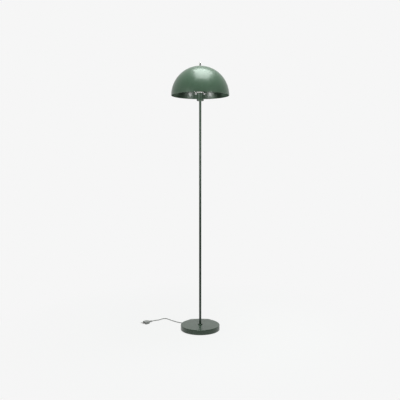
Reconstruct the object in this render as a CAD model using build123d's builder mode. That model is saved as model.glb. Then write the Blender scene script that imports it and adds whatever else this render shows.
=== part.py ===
from build123d import *
import math
import os

# Mushroom floor lamp. Millimetres, +Z up, origin on the floor under the middle of the round base.
# +X is to the right and +Y away from whoever faces the lamp.

os.makedirs("parts", exist_ok=True)

# ---------------------------------------------------------------- driving dimensions
# Round base
BASE_RADIUS = 110.0
BASE_TOP = 28.4  # floor to the top of the base
BASE_WALL = 1.2  # pressed steel cover
BASE_EDGE_RADIUS = 3.0  # pressed shoulder of the cover
SKIRT_CLEAR = 1.6  # floor to the lower edge of the skirt
SKIRT_GAP = 0.6  # cast weight to the inside of the skirt
PAD_THICK = 3.0
PAD_INSET = 4.0  # pad edge behind the edge of the weight
RECESS_RADIUS = 24.0  # hollow under the weight for the nut and the bend of the lead
RECESS_ROOF = 20.0  # height of its roof over the floor
PLATE_RADIUS = 34.0
PLATE_THICK = 1.2
PLATE_FIT = 0.3  # plate in its rebate
PAD_HOLE_OVER_PLATE = 2.0
PLATE_SCREW_CIRCLE = 29.0
PLATE_SCREW_COUNT = 3
PLATE_SCREW_RADIUS = 1.5
PLATE_SCREW_HEAD_RADIUS = 2.7
PLATE_SCREW_LONG = 8.0

# Hollow threaded rod of the stem, and its nuts and washers
ROD_RADIUS = 5.0
ROD_BORE = 4.0
NUT_FLATS = 14.0
NUT_THICK = 4.0
BASE_WASHER_RADIUS = 16.0
BASE_WASHER_THICK = 2.0
CUP_WASHER_RADIUS = 8.5
CUP_WASHER_THICK = 1.0
NUT_BEVEL = 0.6
THREAD_FIT = 0.05  # threaded pieces, and bushes in their holes
ROD_FIT = 0.2  # rod in a plain hole
ROD_SHOWS = 1.0  # base rod past its nut
BASE_ROD_UP = 18.0  # base rod into the pole
TOP_ROD_SHOWS = 0.3  # top rod over the floor of the lower moulding
JOINT_ROD_LONG = 28.0

# Pole: equal tubes, one above the other
SECTION_LONG = 418.2  # one of the three tubes
POLE_RADIUS = 6.35
POLE_WALL = 1.0
POLE_BEVEL = 0.25
BUSH_LONG = 16.0  # threaded bush pressed into each tube end
BUSH_INSET = 0.2  # bush behind the end of its tube
PRESS_FIT = 0.01  # between pressed pieces
COLLAR_RADIUS = 12.7
COLLAR_HIGH = 5.0
COLLAR_BEVEL = 1.2
COLLAR_FIT = 0.1

# Lampholder cup and the lampholder in it
CUP_RADIUS = 19.3
CUP_HIGH = 38.5
CUP_WALL = 0.9
CUP_EDGE_RADIUS = 3.0
HOLDER_RADIUS = 17.6
HOLDER_WALL = 2.4
HOLDER_FLOOR = 2.6
HOLDER_GAP = 0.1  # holder over the nut in the cup
POT_HIGH = 12.0  # lower moulding of the holder
SLEEVE_HIGH = 30.0  # upper moulding
SLEEVE_RADIUS = 17.4
SLEEVE_BORE = 14.4
SLEEVE_BEVEL = 0.5
SHELL_RADIUS = 13.75
SHELL_WALL = 0.4
SHELL_HIGH = 24.5
SHELL_LEDGE = 4.0  # ledge at the foot of the screw shell
TERMINAL_SCREW_RADIUS = 1.7
TERMINAL_SCREW_LONG = 5.0
TERMINAL_HEAD_RADIUS = 2.9
TERMINAL_HEAD_THICK = 1.6
TERMINAL_SLOT_LONG = 6.0
TERMINAL_SLOT_WIDE = 0.8
TERMINAL_SLOT_DEEP = 0.7
TERMINAL_AT_X = 8.5
TERMINAL_AT_Y = -6.5
CONTACT_WIDE = 6.0
CONTACT_THICK = 0.5
CONTACT_FOOT_X = -6.5  # tongue: fixed end, knee, place under the bulb's contact, free end
CONTACT_KNEE_X = -2.0
CONTACT_TOUCH_X = 3.5
CONTACT_END_X = 5.5
CONTACT_EASE = 0.2  # by which its bends are eased

# Turn switch at the back of the cup
SWITCH_UP = 4.0  # stem over the floor of the lower moulding
STEM_RADIUS = 2.0
STEM_CLEAR = 0.06
STEM_FROM_Y = 9.0
STEM_END_CLEAR = 0.5  # hole in the switch block past the stem's end
SWITCH_BUSH_RADIUS = 3.2
SWITCH_BUSH_HEAD = 4.6
SWITCH_BUSH_HEAD_THICK = 1.6
KNOB_RADIUS = 6.0
KNOB_LONG = 9.0
KNOB_GAP = 0.5
KNOB_BORE_DEEP = 6.3
KNOB_TAPER = 3.0  # degrees
KNOB_BEVEL = 0.4
KNOB_FLUTES = 10
KNOB_FLUTE_RADIUS = 0.95
KNOB_FLUTE_OUT = 0.5  # middle of a flute outside the knob's edge
SWITCH_CORE_WIDE = 16.0
SWITCH_CORE_DEEP = 7.2
SWITCH_CORE_HIGH = 7.0

# Shade carrier: clamped ring, four bowed wires, boss with a stud
SHADE_RING_RADIUS = 21.3
SHADE_RING_RIBS = 24
SHADE_RING_RIB_DEEP = 0.7
SHADE_RING_FIT = 0.1
CARRIER_RADIUS = 30.0
CARRIER_THICK = 1.5
CARRIER_FIT = 0.15
WIRE_RADIUS = 1.5
WIRE_CIRCLE = 28.0
WIRE_COUNT = 4
WIRE_FIRST_AZIMUTH = 20.0
WIRE_BOW = 8.5  # how far the middle of a wire stands out from its two ends
WIRE_BOW_HIGH = 118.0
WIRE_TOP_BEND = 15.0
BOSS_RADIUS = 8.0
BOSS_HIGH = 22.0
BOSS_OVER_WIRES = 18.5  # top of the boss over the wires' ends
BOSS_BEVEL = 2.0
STUD_RADIUS = 3.0
STUD_UP = 11.0  # stud above the upper washer
STUD_BEVEL = 0.5
STUD_HOLE_FIT = 0.2

# Shade and finial
SHADE_RADIUS = 160.0
SHADE_WALL = 1.0
HEM_HIGH = 5.0  # folded edge
HEM_EXTRA = 0.9
HEM_ROUND = 0.5  # edges of the fold taken off
SHADE_HOLE_RADIUS = 4.6
CROWN_WASHER_RADIUS = 8.5
CROWN_WASHER_THICK = 1.0
CROWN_GAP_UNDER = 0.03  # lower washer to the shade
CROWN_GAP_OVER = 0.02  # shade to the upper washer
FINIAL_HIGH = 19.6
FINIAL_RADIUS = 5.9
FINIAL_FLANGE_RADIUS = 5.6
FINIAL_FLANGE_THICK = 1.5
FINIAL_NECK_RADIUS = 4.3
FINIAL_FIT = 0.08
FINIAL_BORE_OVER = 0.6  # bore past the end of the stud
TURN_GAP = 0.12  # under pieces that turn

# Lamp bulb, 45 mm globe on a 27 mm screw cap
CAP_RADIUS = 13.1
CAP_WALL = 0.5
CAP_HIGH = 22.4
CAP_FLOOR = 2.0
CAP_BEVEL = 1.2
INSULATOR_HIGH = 2.6
INSULATOR_FOOT_OVER = 0.4  # foot of the insulator outside the button
INSULATOR_INSET = 1.6  # its top inside the cap's edge
BUTTON_HIGH = 1.6
BUTTON_BEVEL = 0.6
CONTACT_BUTTON_RADIUS = 4.6
CONTACT_GAP = 0.2
CONTACT_RISE = 1.2  # bulb's contact over the bottom of the screw shell
BULB_NECK_RADIUS = 14.2
BULB_NECK_FIT = 0.03
BULB_COLLAR_HIGH = 2.0  # straight collar over the cap
BULB_FLARE_IN = 0.8  # hollow of the flare, inwards and upwards
BULB_FLARE_UP = 1.0
BULB_SEAT_RADIUS = 19.0
BULB_BODY_HIGH = 43.0  # foot of the cap to the seat of the globe
BULB_GLOBE_RADIUS = 22.5
BULB_GLASS = 1.2

# Mains lead, gland and plug
CORD_RADIUS = 2.5
GLAND_AZIMUTH = 60.0
GLAND_Z = 8.0
GLAND_NECK_RADIUS = 4.3
GLAND_FLANGE_RADIUS = 6.3
GLAND_FLANGE_THICK = 2.0
GLAND_LUG_RADIUS = 5.6
GLAND_LUG_THICK = 3.0
GLAND_LUG_BEVEL = 0.8
GLAND_LUG_CLEAR = 0.5  # slot round the lug
GLAND_LUG_ROOM = 2.0  # slot behind and before the lug
GLAND_LUG_SEAT = 0.1  # lug behind the skirt
GLAND_SHOULDER = 0.4  # tail's root outside the neck
GLAND_TAIL = 22.0
GLAND_TIP_RADIUS = 3.4
GLAND_FIT = 0.1  # round the lead, and round the gland in its hole
LEAD_SLOT_WIDE = 9.0
LEAD_BEND = 8.0  # bend up into the hollow rod
LEAD_END_UP = 1.4  # end of the sheath over the floor of the lower moulding
CORE_RADIUS = 1.0
CORE_APART = 1.15
CORE_TO_SCREW = 1.0  # end of a core to its terminal screw
CORE_BESIDE_SCREW = 1.5
PLUG_X = -284.0  # tip of the plug's relief
PLUG_Y = 132.3
PLUG_LIFT = 0.05
PLUG_RUN_IN = 20.0  # straight lead before the plug
PLUG_AZIMUTH = 218.5
PLUG_LONG = 36.0
PLUG_WIDE = 35.3
PLUG_THICK = 13.7
PLUG_NECK_HALF = 6.0  # half of the body's width at the lead
PLUG_SHOULDER_LONG = 14.0
PLUG_CORNER = 3.0
PLUG_EDGE = 1.5
PLUG_RELIEF = 20.0
PLUG_RELIEF_TIP = 3.6
PLUG_RELIEF_ROOT = 5.1
PLUG_RELIEF_IN = 1.0  # root of the relief inside the body
PLUG_PIN_LONG = 19.0
PLUG_PIN_RADIUS = 2.0
PLUG_PIN_APART = 19.0
PLUG_PIN_END = 1.2

# Put-away hank behind the base: two layers of long loops, folded at both ends
HANK_LEFT = -42.0
HANK_RIGHT = 40.0
HANK_FRONT = 114.0
HANK_REAR = 160.0
HANK_PITCH = 5.5
HANK_LIFT = 30.0  # reach over which the lead climbs to the upper layer
HANK_END_RUN = 5.0  # straight lead before the first fold's row and after the last fold
HANK_LEAVES_AFTER = 55.0  # degrees of the last fold
TIE_THICK = 0.8
TIE_WIDE = 12.0
TIE_FIT = 0.2
TIE_UNDER_GAP = 0.1
TIE_CORNER = 2.4

# ---------------------------------------------------------------- sizes that follow
BASE_INNER = BASE_RADIUS - BASE_WALL
WEIGHT_RADIUS = BASE_INNER - SKIRT_GAP
WEIGHT_TOP = BASE_TOP - BASE_WALL
BASE_NUT_Z = RECESS_ROOF - BASE_WASHER_THICK - NUT_THICK
POLE_BORE = POLE_RADIUS - POLE_WALL
CUP_BOTTOM = BASE_TOP + 3 * SECTION_LONG
CUP_TOP = CUP_BOTTOM + CUP_HIGH
CUP_FLOOR = CUP_BOTTOM + CUP_WALL
CUP_NUT_Z = CUP_FLOOR + CUP_WASHER_THICK
HOLDER_BOTTOM = CUP_NUT_Z + NUT_THICK + HOLDER_GAP
POT_FLOOR = HOLDER_BOTTOM + HOLDER_FLOOR
SLEEVE_BASE = HOLDER_BOTTOM + POT_HIGH
SLEEVE_TOP = SLEEVE_BASE + SLEEVE_HIGH
SHELL_Z = SLEEVE_BASE + HOLDER_FLOOR
SWITCH_Z = POT_FLOOR + SWITCH_UP
LEAD_END_Z = POT_FLOOR + LEAD_END_UP
BUTTON_LOW = SHELL_Z + CONTACT_RISE
CAP_LOW = BUTTON_LOW + BUTTON_HIGH + INSULATOR_HIGH
CAP_TOP = CAP_LOW + CAP_HIGH
BULB_SEAT_Z = CAP_LOW + BULB_BODY_HIGH
GLOBE_Z = BULB_SEAT_Z + math.sqrt(BULB_GLOBE_RADIUS**2 - BULB_SEAT_RADIUS**2)
CARRIER_TOP = CUP_TOP + CARRIER_THICK
WIRE_LEAN = 2 * math.atan(2 * WIRE_BOW / WIRE_BOW_HIGH)  # of a wire's ends, in radians
WIRE_BEND_Z = CARRIER_TOP + WIRE_BOW_HIGH + WIRE_TOP_BEND * (1 - math.sin(WIRE_LEAN))
WIRE_BEND_R = WIRE_CIRCLE - WIRE_TOP_BEND * math.cos(WIRE_LEAN)
BOSS_TOP = WIRE_BEND_Z + BOSS_OVER_WIRES
CROWN_UNDER = BOSS_TOP + CROWN_WASHER_THICK + CROWN_GAP_UNDER
SHADE_RIM_Z = CROWN_UNDER - math.sqrt((SHADE_RADIUS - SHADE_WALL) ** 2 - CROWN_WASHER_RADIUS**2)
CROWN_Z = SHADE_RIM_Z + math.sqrt(SHADE_RADIUS**2 - SHADE_HOLE_RADIUS**2) + CROWN_GAP_OVER
FINIAL_Z = CROWN_Z + CROWN_WASHER_THICK + TURN_GAP
STUD_TOP = FINIAL_Z + STUD_UP
RADIAL = Vector(math.cos(math.radians(GLAND_AZIMUTH)), math.sin(math.radians(GLAND_AZIMUTH)), 0)
GLAND_PLANE = Plane(origin=(0, 0, GLAND_Z), x_dir=RADIAL, z_dir=RADIAL.cross(Vector(0, 0, 1)))
GLAND_AXIS = Axis(origin=(0, 0, GLAND_Z), direction=RADIAL)
GLAND_TIP = BASE_RADIUS + GLAND_TAIL
HANK_LOW = CORD_RADIUS + TIE_THICK + TIE_UNDER_GAP
HANK_HIGH = HANK_LOW + HANK_PITCH
PLUG_Z = PLUG_THICK / 2 + PLUG_LIFT
BEHIND = {"x_dir": (1, 0, 0), "z_dir": (0, 1, 0)}  # a plane that faces the back


def save(piece, name):
    """Label a finished piece and write it under its own name."""
    piece.part.label = name
    export_step(piece.part, f"parts/{name}.step")


def disc_ring(outer, inner, low, high):
    """A flat or tall ring about the lamp's axis, from height low to height high."""
    with BuildPart() as ring:
        with BuildSketch(Plane.XY.offset(low)):
            Circle(outer)
            Circle(inner, mode=Mode.SUBTRACT)
        extrude(amount=high - low)
    return ring


def hex_nut(low, thick):
    """A flat hexagon nut on the hollow rod, its corners turned off at both faces."""
    with BuildPart() as turned:
        with BuildSketch(Plane.XY.offset(low)):
            Circle(NUT_FLATS / 2 / math.cos(math.radians(30)))
        extrude(amount=thick)
        chamfer(turned.edges().filter_by(GeomType.CIRCLE), NUT_BEVEL)
    with BuildPart() as nut:
        with BuildSketch(Plane.XY.offset(low)):
            RegularPolygon(NUT_FLATS / 2, 6, major_radius=False)
        extrude(amount=thick)
        add(turned.part, mode=Mode.INTERSECT)
        with BuildSketch(Plane.XY.offset(low)):
            Circle(ROD_RADIUS + THREAD_FIT)
        extrude(amount=thick, mode=Mode.SUBTRACT)
    return nut


def corner_radii(points):
    """Each corner's radius on a lead's route: 0.45 of its shorter run, over the tangent of half the turn."""
    radii = []
    for before, corner, after in zip(points, points[1:], points[2:]):
        arriving = Vector(corner) - Vector(before)
        leaving = Vector(after) - Vector(corner)
        half_turn = math.radians(arriving.get_angle(leaving)) / 2
        radii.append(0.45 * min(arriving.length, leaving.length) / math.tan(half_turn))
    return radii


# ---------------------------------------------------------------- round base
# Pressed steel cover: a shallow dish upside down, with a rounded shoulder
with BuildPart() as base_cover:
    with BuildSketch(Plane.XY.offset(SKIRT_CLEAR)):
        Circle(BASE_RADIUS)
    extrude(amount=BASE_TOP - SKIRT_CLEAR)
    fillet(base_cover.faces().sort_by(Axis.Z)[-1].edges(), BASE_EDGE_RADIUS)
    with BuildSketch(Plane.XY.offset(SKIRT_CLEAR)):
        Circle(BASE_INNER)
    extrude(amount=WEIGHT_TOP - SKIRT_CLEAR, mode=Mode.SUBTRACT)
    inner_edge = base_cover.faces().filter_by(GeomType.PLANE).sort_by(Axis.Z)[-2].edges()
    chamfer(inner_edge.sort_by(SortBy.RADIUS)[-1], BASE_EDGE_RADIUS - BASE_WALL)
    with BuildSketch(Plane.XY.offset(BASE_TOP)):
        Circle(ROD_RADIUS + ROD_FIT)
    extrude(amount=-BASE_WALL, mode=Mode.SUBTRACT)
    with BuildSketch(Plane(origin=GLAND_PLANE.origin, x_dir=(0, 0, 1), z_dir=RADIAL)):
        Circle(GLAND_NECK_RADIUS + GLAND_FIT)
    extrude(amount=BASE_RADIUS + 1, mode=Mode.SUBTRACT)
save(base_cover, "base_cover")

# Cast iron weight: fills the cover, with a recess below and a slot for the lead
with BuildPart() as base_weight:
    with BuildSketch(Plane.XY.offset(PAD_THICK)):
        Circle(WEIGHT_RADIUS)
    extrude(amount=WEIGHT_TOP - PAD_THICK)
    chamfer(base_weight.faces().sort_by(Axis.Z)[-1].edges(), BASE_EDGE_RADIUS)
    with BuildSketch(Plane.XY.offset(PAD_THICK)):
        Circle(PLATE_RADIUS + PLATE_FIT)
    extrude(amount=PLATE_THICK, mode=Mode.SUBTRACT)
    with BuildSketch(Plane.XY.offset(PAD_THICK)):
        Circle(RECESS_RADIUS)
    extrude(amount=RECESS_ROOF - PAD_THICK, mode=Mode.SUBTRACT)
    with BuildSketch(Plane.XY.offset(WEIGHT_TOP)):
        Circle(ROD_RADIUS + ROD_FIT)
    extrude(amount=-(WEIGHT_TOP - RECESS_ROOF), mode=Mode.SUBTRACT)
    with BuildSketch(Plane(origin=(0, 0, PAD_THICK), x_dir=RADIAL, z_dir=(0, 0, 1))):
        with Locations(((WEIGHT_RADIUS + GLAND_LUG_ROOM) / 2, 0)):
            Rectangle(WEIGHT_RADIUS + GLAND_LUG_ROOM, LEAD_SLOT_WIDE)
        with Locations((WEIGHT_RADIUS, 0)):
            Rectangle(2 * (GLAND_LUG_THICK + GLAND_LUG_ROOM), 2 * (GLAND_LUG_RADIUS + GLAND_LUG_CLEAR))
    extrude(amount=GLAND_Z + GLAND_LUG_RADIUS + GLAND_LUG_CLEAR - PAD_THICK, mode=Mode.SUBTRACT)
    with Locations((0, 0, PAD_THICK + PLATE_THICK)):
        with PolarLocations(PLATE_SCREW_CIRCLE, PLATE_SCREW_COUNT, start_angle=GLAND_AZIMUTH + 60):
            Cylinder(
                PLATE_SCREW_RADIUS + THREAD_FIT,
                PLATE_SCREW_LONG,
                align=(Align.CENTER, Align.CENTER, Align.MIN),
                mode=Mode.SUBTRACT,
            )
save(base_weight, "base_weight")

# Round plate over the recess, let into the weight, with countersunk screws
with BuildPart() as recess_plate:
    with BuildSketch(Plane.XY.offset(PAD_THICK)):
        Circle(PLATE_RADIUS)
    extrude(amount=PLATE_THICK)
    with PolarLocations(PLATE_SCREW_CIRCLE, PLATE_SCREW_COUNT, start_angle=GLAND_AZIMUTH + 60):
        with Locations((0, 0, PAD_THICK)):
            Cone(
                PLATE_SCREW_HEAD_RADIUS + THREAD_FIT,
                PLATE_SCREW_RADIUS + THREAD_FIT,
                PLATE_SCREW_HEAD_RADIUS - PLATE_SCREW_RADIUS,
                align=(Align.CENTER, Align.CENTER, Align.MIN),
                mode=Mode.SUBTRACT,
            )
save(recess_plate, "recess_plate")

with BuildPart() as plate_screws:
    with PolarLocations(PLATE_SCREW_CIRCLE, PLATE_SCREW_COUNT, start_angle=GLAND_AZIMUTH + 60):
        with Locations((0, 0, PAD_THICK)):
            head_deep = PLATE_SCREW_HEAD_RADIUS - PLATE_SCREW_RADIUS
            Cone(
                PLATE_SCREW_HEAD_RADIUS,
                PLATE_SCREW_RADIUS,
                head_deep,
                align=(Align.CENTER, Align.CENTER, Align.MIN),
            )
            Cylinder(
                PLATE_SCREW_RADIUS,
                PLATE_SCREW_LONG,
                align=(Align.CENTER, Align.CENTER, Align.MIN),
            )
save(plate_screws, "plate_screws")

# Soft foam pad that the lamp stands on, with a hole round the plate
with BuildPart() as base_pad:
    with BuildSketch():
        Circle(WEIGHT_RADIUS - PAD_INSET)
        Circle(PLATE_RADIUS + PAD_HOLE_OVER_PLATE, mode=Mode.SUBTRACT)
    extrude(amount=PAD_THICK)
save(base_pad, "base_pad")

# Hollow rod from the recess up into the pole, with its washer and nut
base_rod = disc_ring(ROD_RADIUS, ROD_BORE, BASE_NUT_Z - ROD_SHOWS, BASE_TOP + BASE_ROD_UP)
save(base_rod, "base_rod")
base_washer = disc_ring(BASE_WASHER_RADIUS, ROD_RADIUS + ROD_FIT, RECESS_ROOF - BASE_WASHER_THICK, RECESS_ROOF)
save(base_washer, "base_washer")
base_nut = hex_nut(BASE_NUT_Z, NUT_THICK)
save(base_nut, "base_nut")

# Gland: flange and tapered tail outside the skirt, neck and lug inside it
with BuildPart() as cord_gland:
    with BuildSketch(GLAND_PLANE):
        with BuildLine():
            bore = CORD_RADIUS + GLAND_FIT
            lug_out = math.sqrt(BASE_INNER**2 - GLAND_LUG_RADIUS**2) - GLAND_LUG_SEAT
            Polyline(
                (lug_out - GLAND_LUG_THICK, bore),
                (GLAND_TIP, bore),
                (GLAND_TIP, GLAND_TIP_RADIUS),
                (BASE_RADIUS + GLAND_FLANGE_THICK, GLAND_NECK_RADIUS + GLAND_SHOULDER),
                (BASE_RADIUS + GLAND_FLANGE_THICK, GLAND_FLANGE_RADIUS),
                (BASE_RADIUS, GLAND_FLANGE_RADIUS),
                (BASE_RADIUS, GLAND_NECK_RADIUS),
                (lug_out, GLAND_NECK_RADIUS),
                (lug_out, GLAND_LUG_RADIUS),
                (lug_out - GLAND_LUG_THICK, GLAND_LUG_RADIUS - GLAND_LUG_BEVEL),
                close=True,
            )
        make_face()
    revolve(axis=GLAND_AXIS)
save(cord_gland, "cord_gland")

# ---------------------------------------------------------------- pole
with BuildPart() as foot_collar:
    with BuildSketch(Plane.XY.offset(BASE_TOP)):
        Circle(COLLAR_RADIUS)
    extrude(amount=COLLAR_HIGH)
    chamfer(foot_collar.faces().sort_by(Axis.Z)[-1].edges(), COLLAR_BEVEL)
    with BuildSketch(Plane.XY.offset(BASE_TOP)):
        Circle(POLE_RADIUS + COLLAR_FIT)
    extrude(amount=COLLAR_HIGH, mode=Mode.SUBTRACT)
save(foot_collar, "foot_collar")

section_ends = [BASE_TOP + SECTION_LONG * number for number in range(4)]
for name, low, high in zip(("pole_lower", "pole_middle", "pole_upper"), section_ends, section_ends[1:]):
    with BuildPart() as section:
        with BuildSketch(Plane.XY.offset(low)):
            Circle(POLE_RADIUS)
        extrude(amount=high - low)
        chamfer(section.faces().filter_by(GeomType.PLANE).edges(), POLE_BEVEL)
        with BuildSketch(Plane.XY.offset(low)):
            Circle(POLE_BORE)
        extrude(amount=high - low, mode=Mode.SUBTRACT)
    save(section, name)

# Threaded bushes pressed into the tube ends, and the two rods that join the tubes
with BuildPart() as pole_bushes:
    for low, high in zip(section_ends, section_ends[1:]):
        for start in (low + BUSH_INSET, high - BUSH_LONG - BUSH_INSET):
            with BuildSketch(Plane.XY.offset(start)):
                Circle(POLE_BORE - PRESS_FIT)
                Circle(ROD_RADIUS + THREAD_FIT, mode=Mode.SUBTRACT)
            extrude(amount=BUSH_LONG)
save(pole_bushes, "pole_bushes")

with BuildPart() as joint_rods:
    for joint in section_ends[1:3]:
        with BuildSketch(Plane.XY.offset(joint - JOINT_ROD_LONG / 2)):
            Circle(ROD_RADIUS)
            Circle(ROD_BORE, mode=Mode.SUBTRACT)
        extrude(amount=JOINT_ROD_LONG)
save(joint_rods, "joint_rods")

# ---------------------------------------------------------------- lampholder
with BuildPart() as lampholder_cup:
    with BuildSketch(Plane.XY.offset(CUP_BOTTOM)):
        Circle(CUP_RADIUS)
    extrude(amount=CUP_HIGH)
    fillet(lampholder_cup.faces().sort_by(Axis.Z)[0].edges(), CUP_EDGE_RADIUS)
    with BuildSketch(Plane.XY.offset(CUP_TOP)):
        Circle(CUP_RADIUS - CUP_WALL)
    extrude(amount=-(CUP_HIGH - CUP_WALL), mode=Mode.SUBTRACT)
    floor_edge = lampholder_cup.faces().filter_by(GeomType.PLANE).sort_by(Axis.Z)[1].edges()
    chamfer(floor_edge.sort_by(SortBy.RADIUS)[-1], CUP_EDGE_RADIUS - CUP_WALL)
    with BuildSketch(Plane.XY.offset(CUP_BOTTOM)):
        Circle(ROD_RADIUS + ROD_FIT)
    extrude(amount=CUP_WALL, mode=Mode.SUBTRACT)
    with BuildSketch(Plane(origin=(0, 0, SWITCH_Z), **BEHIND)):
        Circle(SWITCH_BUSH_RADIUS + THREAD_FIT)
    extrude(amount=CUP_RADIUS + 1, mode=Mode.SUBTRACT)
save(lampholder_cup, "lampholder_cup")

top_rod = disc_ring(ROD_RADIUS, ROD_BORE, CUP_BOTTOM - BUSH_LONG, POT_FLOOR + TOP_ROD_SHOWS)
save(top_rod, "top_rod")
cup_washer = disc_ring(CUP_WASHER_RADIUS, ROD_RADIUS + ROD_FIT, CUP_FLOOR, CUP_NUT_Z)
save(cup_washer, "cup_washer")
cup_nut = hex_nut(CUP_NUT_Z, NUT_THICK)
save(cup_nut, "cup_nut")

# Lower moulding: a shallow pot that holds the switch and the terminals
with BuildPart() as holder_pot:
    with BuildSketch(Plane.XY.offset(HOLDER_BOTTOM)):
        Circle(HOLDER_RADIUS)
    extrude(amount=SLEEVE_BASE - HOLDER_BOTTOM)
    with BuildSketch(Plane.XY.offset(SLEEVE_BASE)):
        Circle(HOLDER_RADIUS - HOLDER_WALL)
    extrude(amount=-(SLEEVE_BASE - HOLDER_BOTTOM - HOLDER_FLOOR), mode=Mode.SUBTRACT)
    with BuildSketch(Plane.XY.offset(HOLDER_BOTTOM)):
        Circle(ROD_RADIUS + ROD_FIT)
    extrude(amount=HOLDER_FLOOR, mode=Mode.SUBTRACT)
    with BuildSketch(Plane(origin=(0, 0, SWITCH_Z), **BEHIND)):
        Circle(SWITCH_BUSH_RADIUS + THREAD_FIT)
    extrude(amount=HOLDER_RADIUS + 1, mode=Mode.SUBTRACT)
save(holder_pot, "holder_pot")

# Upper moulding: the sleeve round the screw shell
with BuildPart() as holder_sleeve:
    with BuildSketch(Plane.XY.offset(SLEEVE_BASE)):
        Circle(SLEEVE_RADIUS)
    extrude(amount=SLEEVE_TOP - SLEEVE_BASE)
    with BuildSketch(Plane.XY.offset(SLEEVE_TOP)):
        Circle(SLEEVE_BORE)
    extrude(amount=-(SLEEVE_TOP - SLEEVE_BASE - HOLDER_FLOOR), mode=Mode.SUBTRACT)
    chamfer(holder_sleeve.faces().sort_by(Axis.Z)[-1].edges(), SLEEVE_BEVEL)
save(holder_sleeve, "holder_sleeve")

with BuildPart() as screw_shell:
    with BuildSketch(Plane.XY.offset(SHELL_Z)):
        Circle(SHELL_RADIUS)
    extrude(amount=SHELL_HIGH)
    with BuildSketch(Plane.XY.offset(SHELL_Z + SHELL_HIGH)):
        Circle(SHELL_RADIUS - SHELL_WALL)
    extrude(amount=-(SHELL_HIGH - SHELL_WALL), mode=Mode.SUBTRACT)
    with BuildSketch(Plane.XY.offset(SHELL_Z)):
        Circle(SHELL_RADIUS - SHELL_LEDGE)
    extrude(amount=SHELL_WALL, mode=Mode.SUBTRACT)
save(screw_shell, "screw_shell")

# Sprung tongue under the bulb's contact
with BuildPart() as centre_contact:
    with BuildSketch(Plane.XZ.offset(-CONTACT_WIDE / 2)):
        with BuildLine():
            tongue_top = BUTTON_LOW - CONTACT_GAP
            Polyline(
                (CONTACT_FOOT_X, SHELL_Z),
                (CONTACT_KNEE_X, SHELL_Z),
                (CONTACT_TOUCH_X, tongue_top - CONTACT_THICK),
                (CONTACT_END_X, tongue_top - CONTACT_THICK - CONTACT_EASE),
                (CONTACT_END_X, tongue_top - CONTACT_EASE),
                (CONTACT_TOUCH_X, tongue_top),
                (CONTACT_KNEE_X - CONTACT_EASE, SHELL_Z + CONTACT_THICK),
                (CONTACT_FOOT_X, SHELL_Z + CONTACT_THICK),
                close=True,
            )
        make_face()
    extrude(amount=CONTACT_WIDE)
save(centre_contact, "centre_contact")

# Switch block against the back wall of the pot, and the two terminal screws in front
with BuildPart() as switch_core:
    with BuildSketch(Plane.XY.offset(POT_FLOOR)):
        with Locations((0, STEM_FROM_Y)):
            Rectangle(SWITCH_CORE_WIDE, SWITCH_CORE_DEEP)
    extrude(amount=SWITCH_CORE_HIGH)
    with BuildSketch(Plane(origin=(0, STEM_FROM_Y - STEM_END_CLEAR, SWITCH_Z), **BEHIND)):
        Circle(STEM_RADIUS + STEM_CLEAR)
    extrude(amount=SWITCH_CORE_DEEP, mode=Mode.SUBTRACT)
save(switch_core, "switch_core")

with BuildPart() as terminal_screws:
    terminal_places = ((-TERMINAL_AT_X, TERMINAL_AT_Y), (TERMINAL_AT_X, TERMINAL_AT_Y))
    head_low = POT_FLOOR + TERMINAL_SCREW_LONG
    with BuildSketch(Plane.XY.offset(POT_FLOOR)):
        with Locations(*terminal_places):
            Circle(TERMINAL_SCREW_RADIUS)
    extrude(amount=TERMINAL_SCREW_LONG)
    with BuildSketch(Plane.XY.offset(head_low)):
        with Locations(*terminal_places):
            Circle(TERMINAL_HEAD_RADIUS)
    extrude(amount=TERMINAL_HEAD_THICK)
    with BuildSketch(Plane.XY.offset(head_low + TERMINAL_HEAD_THICK)):
        with Locations(*terminal_places):
            Rectangle(TERMINAL_SLOT_LONG, TERMINAL_SLOT_WIDE)
    extrude(amount=-TERMINAL_SLOT_DEEP, mode=Mode.SUBTRACT)
save(terminal_screws, "terminal_screws")

# Bush through both back walls, stem in it, fluted knob outside
BUSH_FROM_Y = HOLDER_RADIUS - HOLDER_WALL
BUSH_HEAD_Y = CUP_RADIUS
KNOB_FROM_Y = BUSH_HEAD_Y + SWITCH_BUSH_HEAD_THICK + KNOB_GAP
with BuildPart() as switch_bush:
    with BuildSketch(Plane(origin=(0, BUSH_FROM_Y, SWITCH_Z), **BEHIND)):
        Circle(SWITCH_BUSH_RADIUS)
    extrude(amount=BUSH_HEAD_Y - BUSH_FROM_Y)
    with BuildSketch(Plane(origin=(0, BUSH_HEAD_Y, SWITCH_Z), **BEHIND)):
        RegularPolygon(SWITCH_BUSH_HEAD, 6)
    extrude(amount=SWITCH_BUSH_HEAD_THICK)
    with BuildSketch(Plane(origin=(0, BUSH_FROM_Y, SWITCH_Z), **BEHIND)):
        Circle(STEM_RADIUS + STEM_CLEAR)
    extrude(amount=BUSH_HEAD_Y + SWITCH_BUSH_HEAD_THICK - BUSH_FROM_Y, mode=Mode.SUBTRACT)
save(switch_bush, "switch_bush")

with BuildPart() as switch_stem:
    with BuildSketch(Plane(origin=(0, STEM_FROM_Y, SWITCH_Z), **BEHIND)):
        Circle(STEM_RADIUS)
    extrude(amount=KNOB_FROM_Y + KNOB_BORE_DEEP - STEM_FROM_Y)
save(switch_stem, "switch_stem")

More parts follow.
